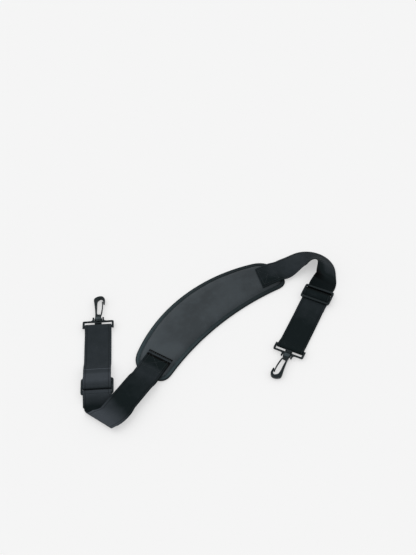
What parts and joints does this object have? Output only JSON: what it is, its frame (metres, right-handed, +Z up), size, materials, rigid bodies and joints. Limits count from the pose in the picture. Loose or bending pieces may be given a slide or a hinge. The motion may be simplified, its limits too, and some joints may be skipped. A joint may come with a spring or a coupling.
{
  "type": "shoulder strap",
  "caption": "Padded shoulder strap: curved foam pad with a bound edge, and webbing ends with three-bar sliders and plastic swivel snap hooks, lying flat.",
  "frame": {"origin": "on the surface the strap lies on, under the middle of the pad", "axes": "+X along the pad's length, +Y towards its longer outer edge, +Z up"},
  "size_m": [0.442, 0.2876, 0.0286],
  "materials": {
    "pad_cloth": "matte",
    "pad_foam": "matte",
    "backing_cloth": "matte",
    "binding_tape": "matte",
    "webbing": "matte",
    "plastic": "satin"
  },
  "bodies": {
    "pad": {"pad_backing": "backing_cloth", "pad_foam_core": "pad_foam", "pad_top_cover": "pad_cloth", "pad_edge_binding": "binding_tape", "left_webbing_pad_run": "webbing", "left_webbing_slack": "webbing", "right_webbing_pad_run": "webbing", "right_webbing_slack": "webbing"},
    "left_slider": {"left_slider": "plastic", "left_webbing_over_bar": "webbing", "left_webbing_sewn_loop": "webbing", "left_webbing_outer_leg": "webbing", "left_webbing_return_leg": "webbing"},
    "left_end": {"left_webbing_end_loop": "webbing"},
    "left_frame": {"left_hook_frame": "plastic"},
    "left_hook": {"left_hook": "plastic"},
    "left_gate": {"left_hook_gate": "plastic"},
    "right_slider": {"right_slider": "plastic", "right_webbing_over_bar": "webbing", "right_webbing_sewn_loop": "webbing", "right_webbing_outer_leg": "webbing", "right_webbing_return_leg": "webbing"},
    "right_end": {"right_webbing_end_loop": "webbing"},
    "right_frame": {"right_hook_frame": "plastic"},
    "right_hook": {"right_hook": "plastic"},
    "right_gate": {"right_hook_gate": "plastic"}
  },
  "joints": [
    {"name": "left_adjust", "type": "slide", "parent": "pad", "child": "left_slider", "axis": [0.6521, 0.7581, 0], "range_m": [0, 0.05], "deforming": ["left_webbing_slack"]},
    {"name": "left_end_draw", "type": "slide", "parent": "left_slider", "child": "left_end", "axis": [0.6521, 0.7581, 0], "range_m": [-0.025, 0], "deforming": ["left_webbing_outer_leg", "left_webbing_return_leg"]},
    {"name": "left_frame_pivot", "type": "hinge", "parent": "left_end", "child": "left_frame", "pos_m": [-0.12872, 0.0817, 0.004], "axis": [-0.7581, 0.6521, 0], "range_deg": [-80, 80]},
    {"name": "left_swivel", "type": "hinge", "parent": "left_frame", "child": "left_hook", "pos_m": [-0.12285, 0.08852, 0.004], "axis": [0.6521, 0.7581, 0], "continuous": true},
    {"name": "left_gate", "type": "hinge", "parent": "left_hook", "child": "left_gate", "pos_m": [-0.1122, 0.09478, 0.004], "axis": [0, 0, 1], "range_deg": [0, 14], "stiffness_Nm_per_rad": 0.15, "springref_deg": -2.86},
    {"name": "right_adjust", "type": "slide", "parent": "pad", "child": "right_slider", "axis": [-0.9403, -0.3404, 0], "range_m": [0, 0.05], "deforming": ["right_webbing_slack"]},
    {"name": "right_end_draw", "type": "slide", "parent": "right_slider", "child": "right_end", "axis": [-0.9403, -0.3404, 0], "range_m": [-0.025, 0], "deforming": ["right_webbing_outer_leg", "right_webbing_return_leg"]},
    {"name": "right_frame_pivot", "type": "hinge", "parent": "right_end", "child": "right_frame", "pos_m": [0.03802, -0.1393, 0.004], "axis": [0.3404, -0.9403, 0], "range_deg": [-80, 80]},
    {"name": "right_swivel", "type": "hinge", "parent": "right_frame", "child": "right_hook", "pos_m": [0.02955, -0.14236, 0.004], "axis": [-0.9403, -0.3404, 0], "continuous": true},
    {"name": "right_gate", "type": "hinge", "parent": "right_hook", "child": "right_gate", "pos_m": [0.0172, -0.14259, 0.004], "axis": [0, 0, 1], "range_deg": [0, 14], "stiffness_Nm_per_rad": 0.15, "springref_deg": -2.86}
  ],
  "couplings": [
    {"joint": "left_end_draw", "follows": "left_adjust", "ratio": -0.5},
    {"joint": "right_end_draw", "follows": "right_adjust", "ratio": -0.5}
  ]
}
